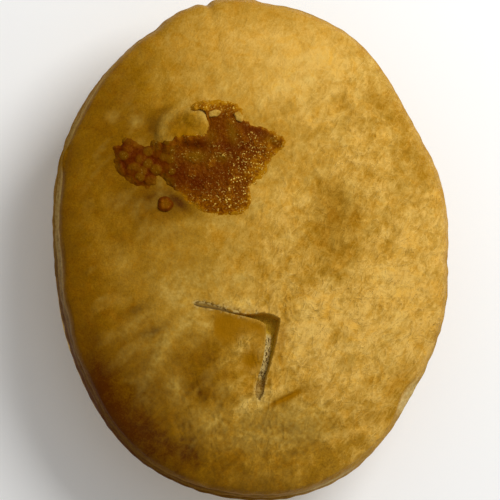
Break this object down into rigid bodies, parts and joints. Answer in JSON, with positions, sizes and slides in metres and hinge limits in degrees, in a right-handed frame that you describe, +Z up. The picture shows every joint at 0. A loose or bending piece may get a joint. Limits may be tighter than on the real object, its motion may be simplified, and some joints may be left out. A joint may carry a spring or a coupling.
{
  "type": "oval savoury pie",
  "caption": "Oval savoury pie with a tapered pastry base, a domed golden top crust, a corner-shaped steam slit and browned cheese that leaked from a second vent.",
  "frame": {"origin": "under the middle of the pie, on the surface that it stands on", "axes": "+Z up, +Y along the pie's length towards the end with the leaked cheese, +X across it"},
  "size_m": [0.0998, 0.1262, 0.0402],
  "materials": {
    "base_pastry": "baked shortcrust pastry, dry and matt, blotched golden tan with paler flaky rim",
    "crust_pastry": "golden baked pastry with a thin egg-wash shine, darker towards one side",
    "browned_cheese": "baked-on cheese, dark brown, bubbly and greasy"
  },
  "bodies": {
    "root": {"pie_base": "base_pastry", "top_crust": "crust_pastry", "leaked_cheese": "browned_cheese", "cheese_drop": "browned_cheese"}
  },
  "joints": []
}
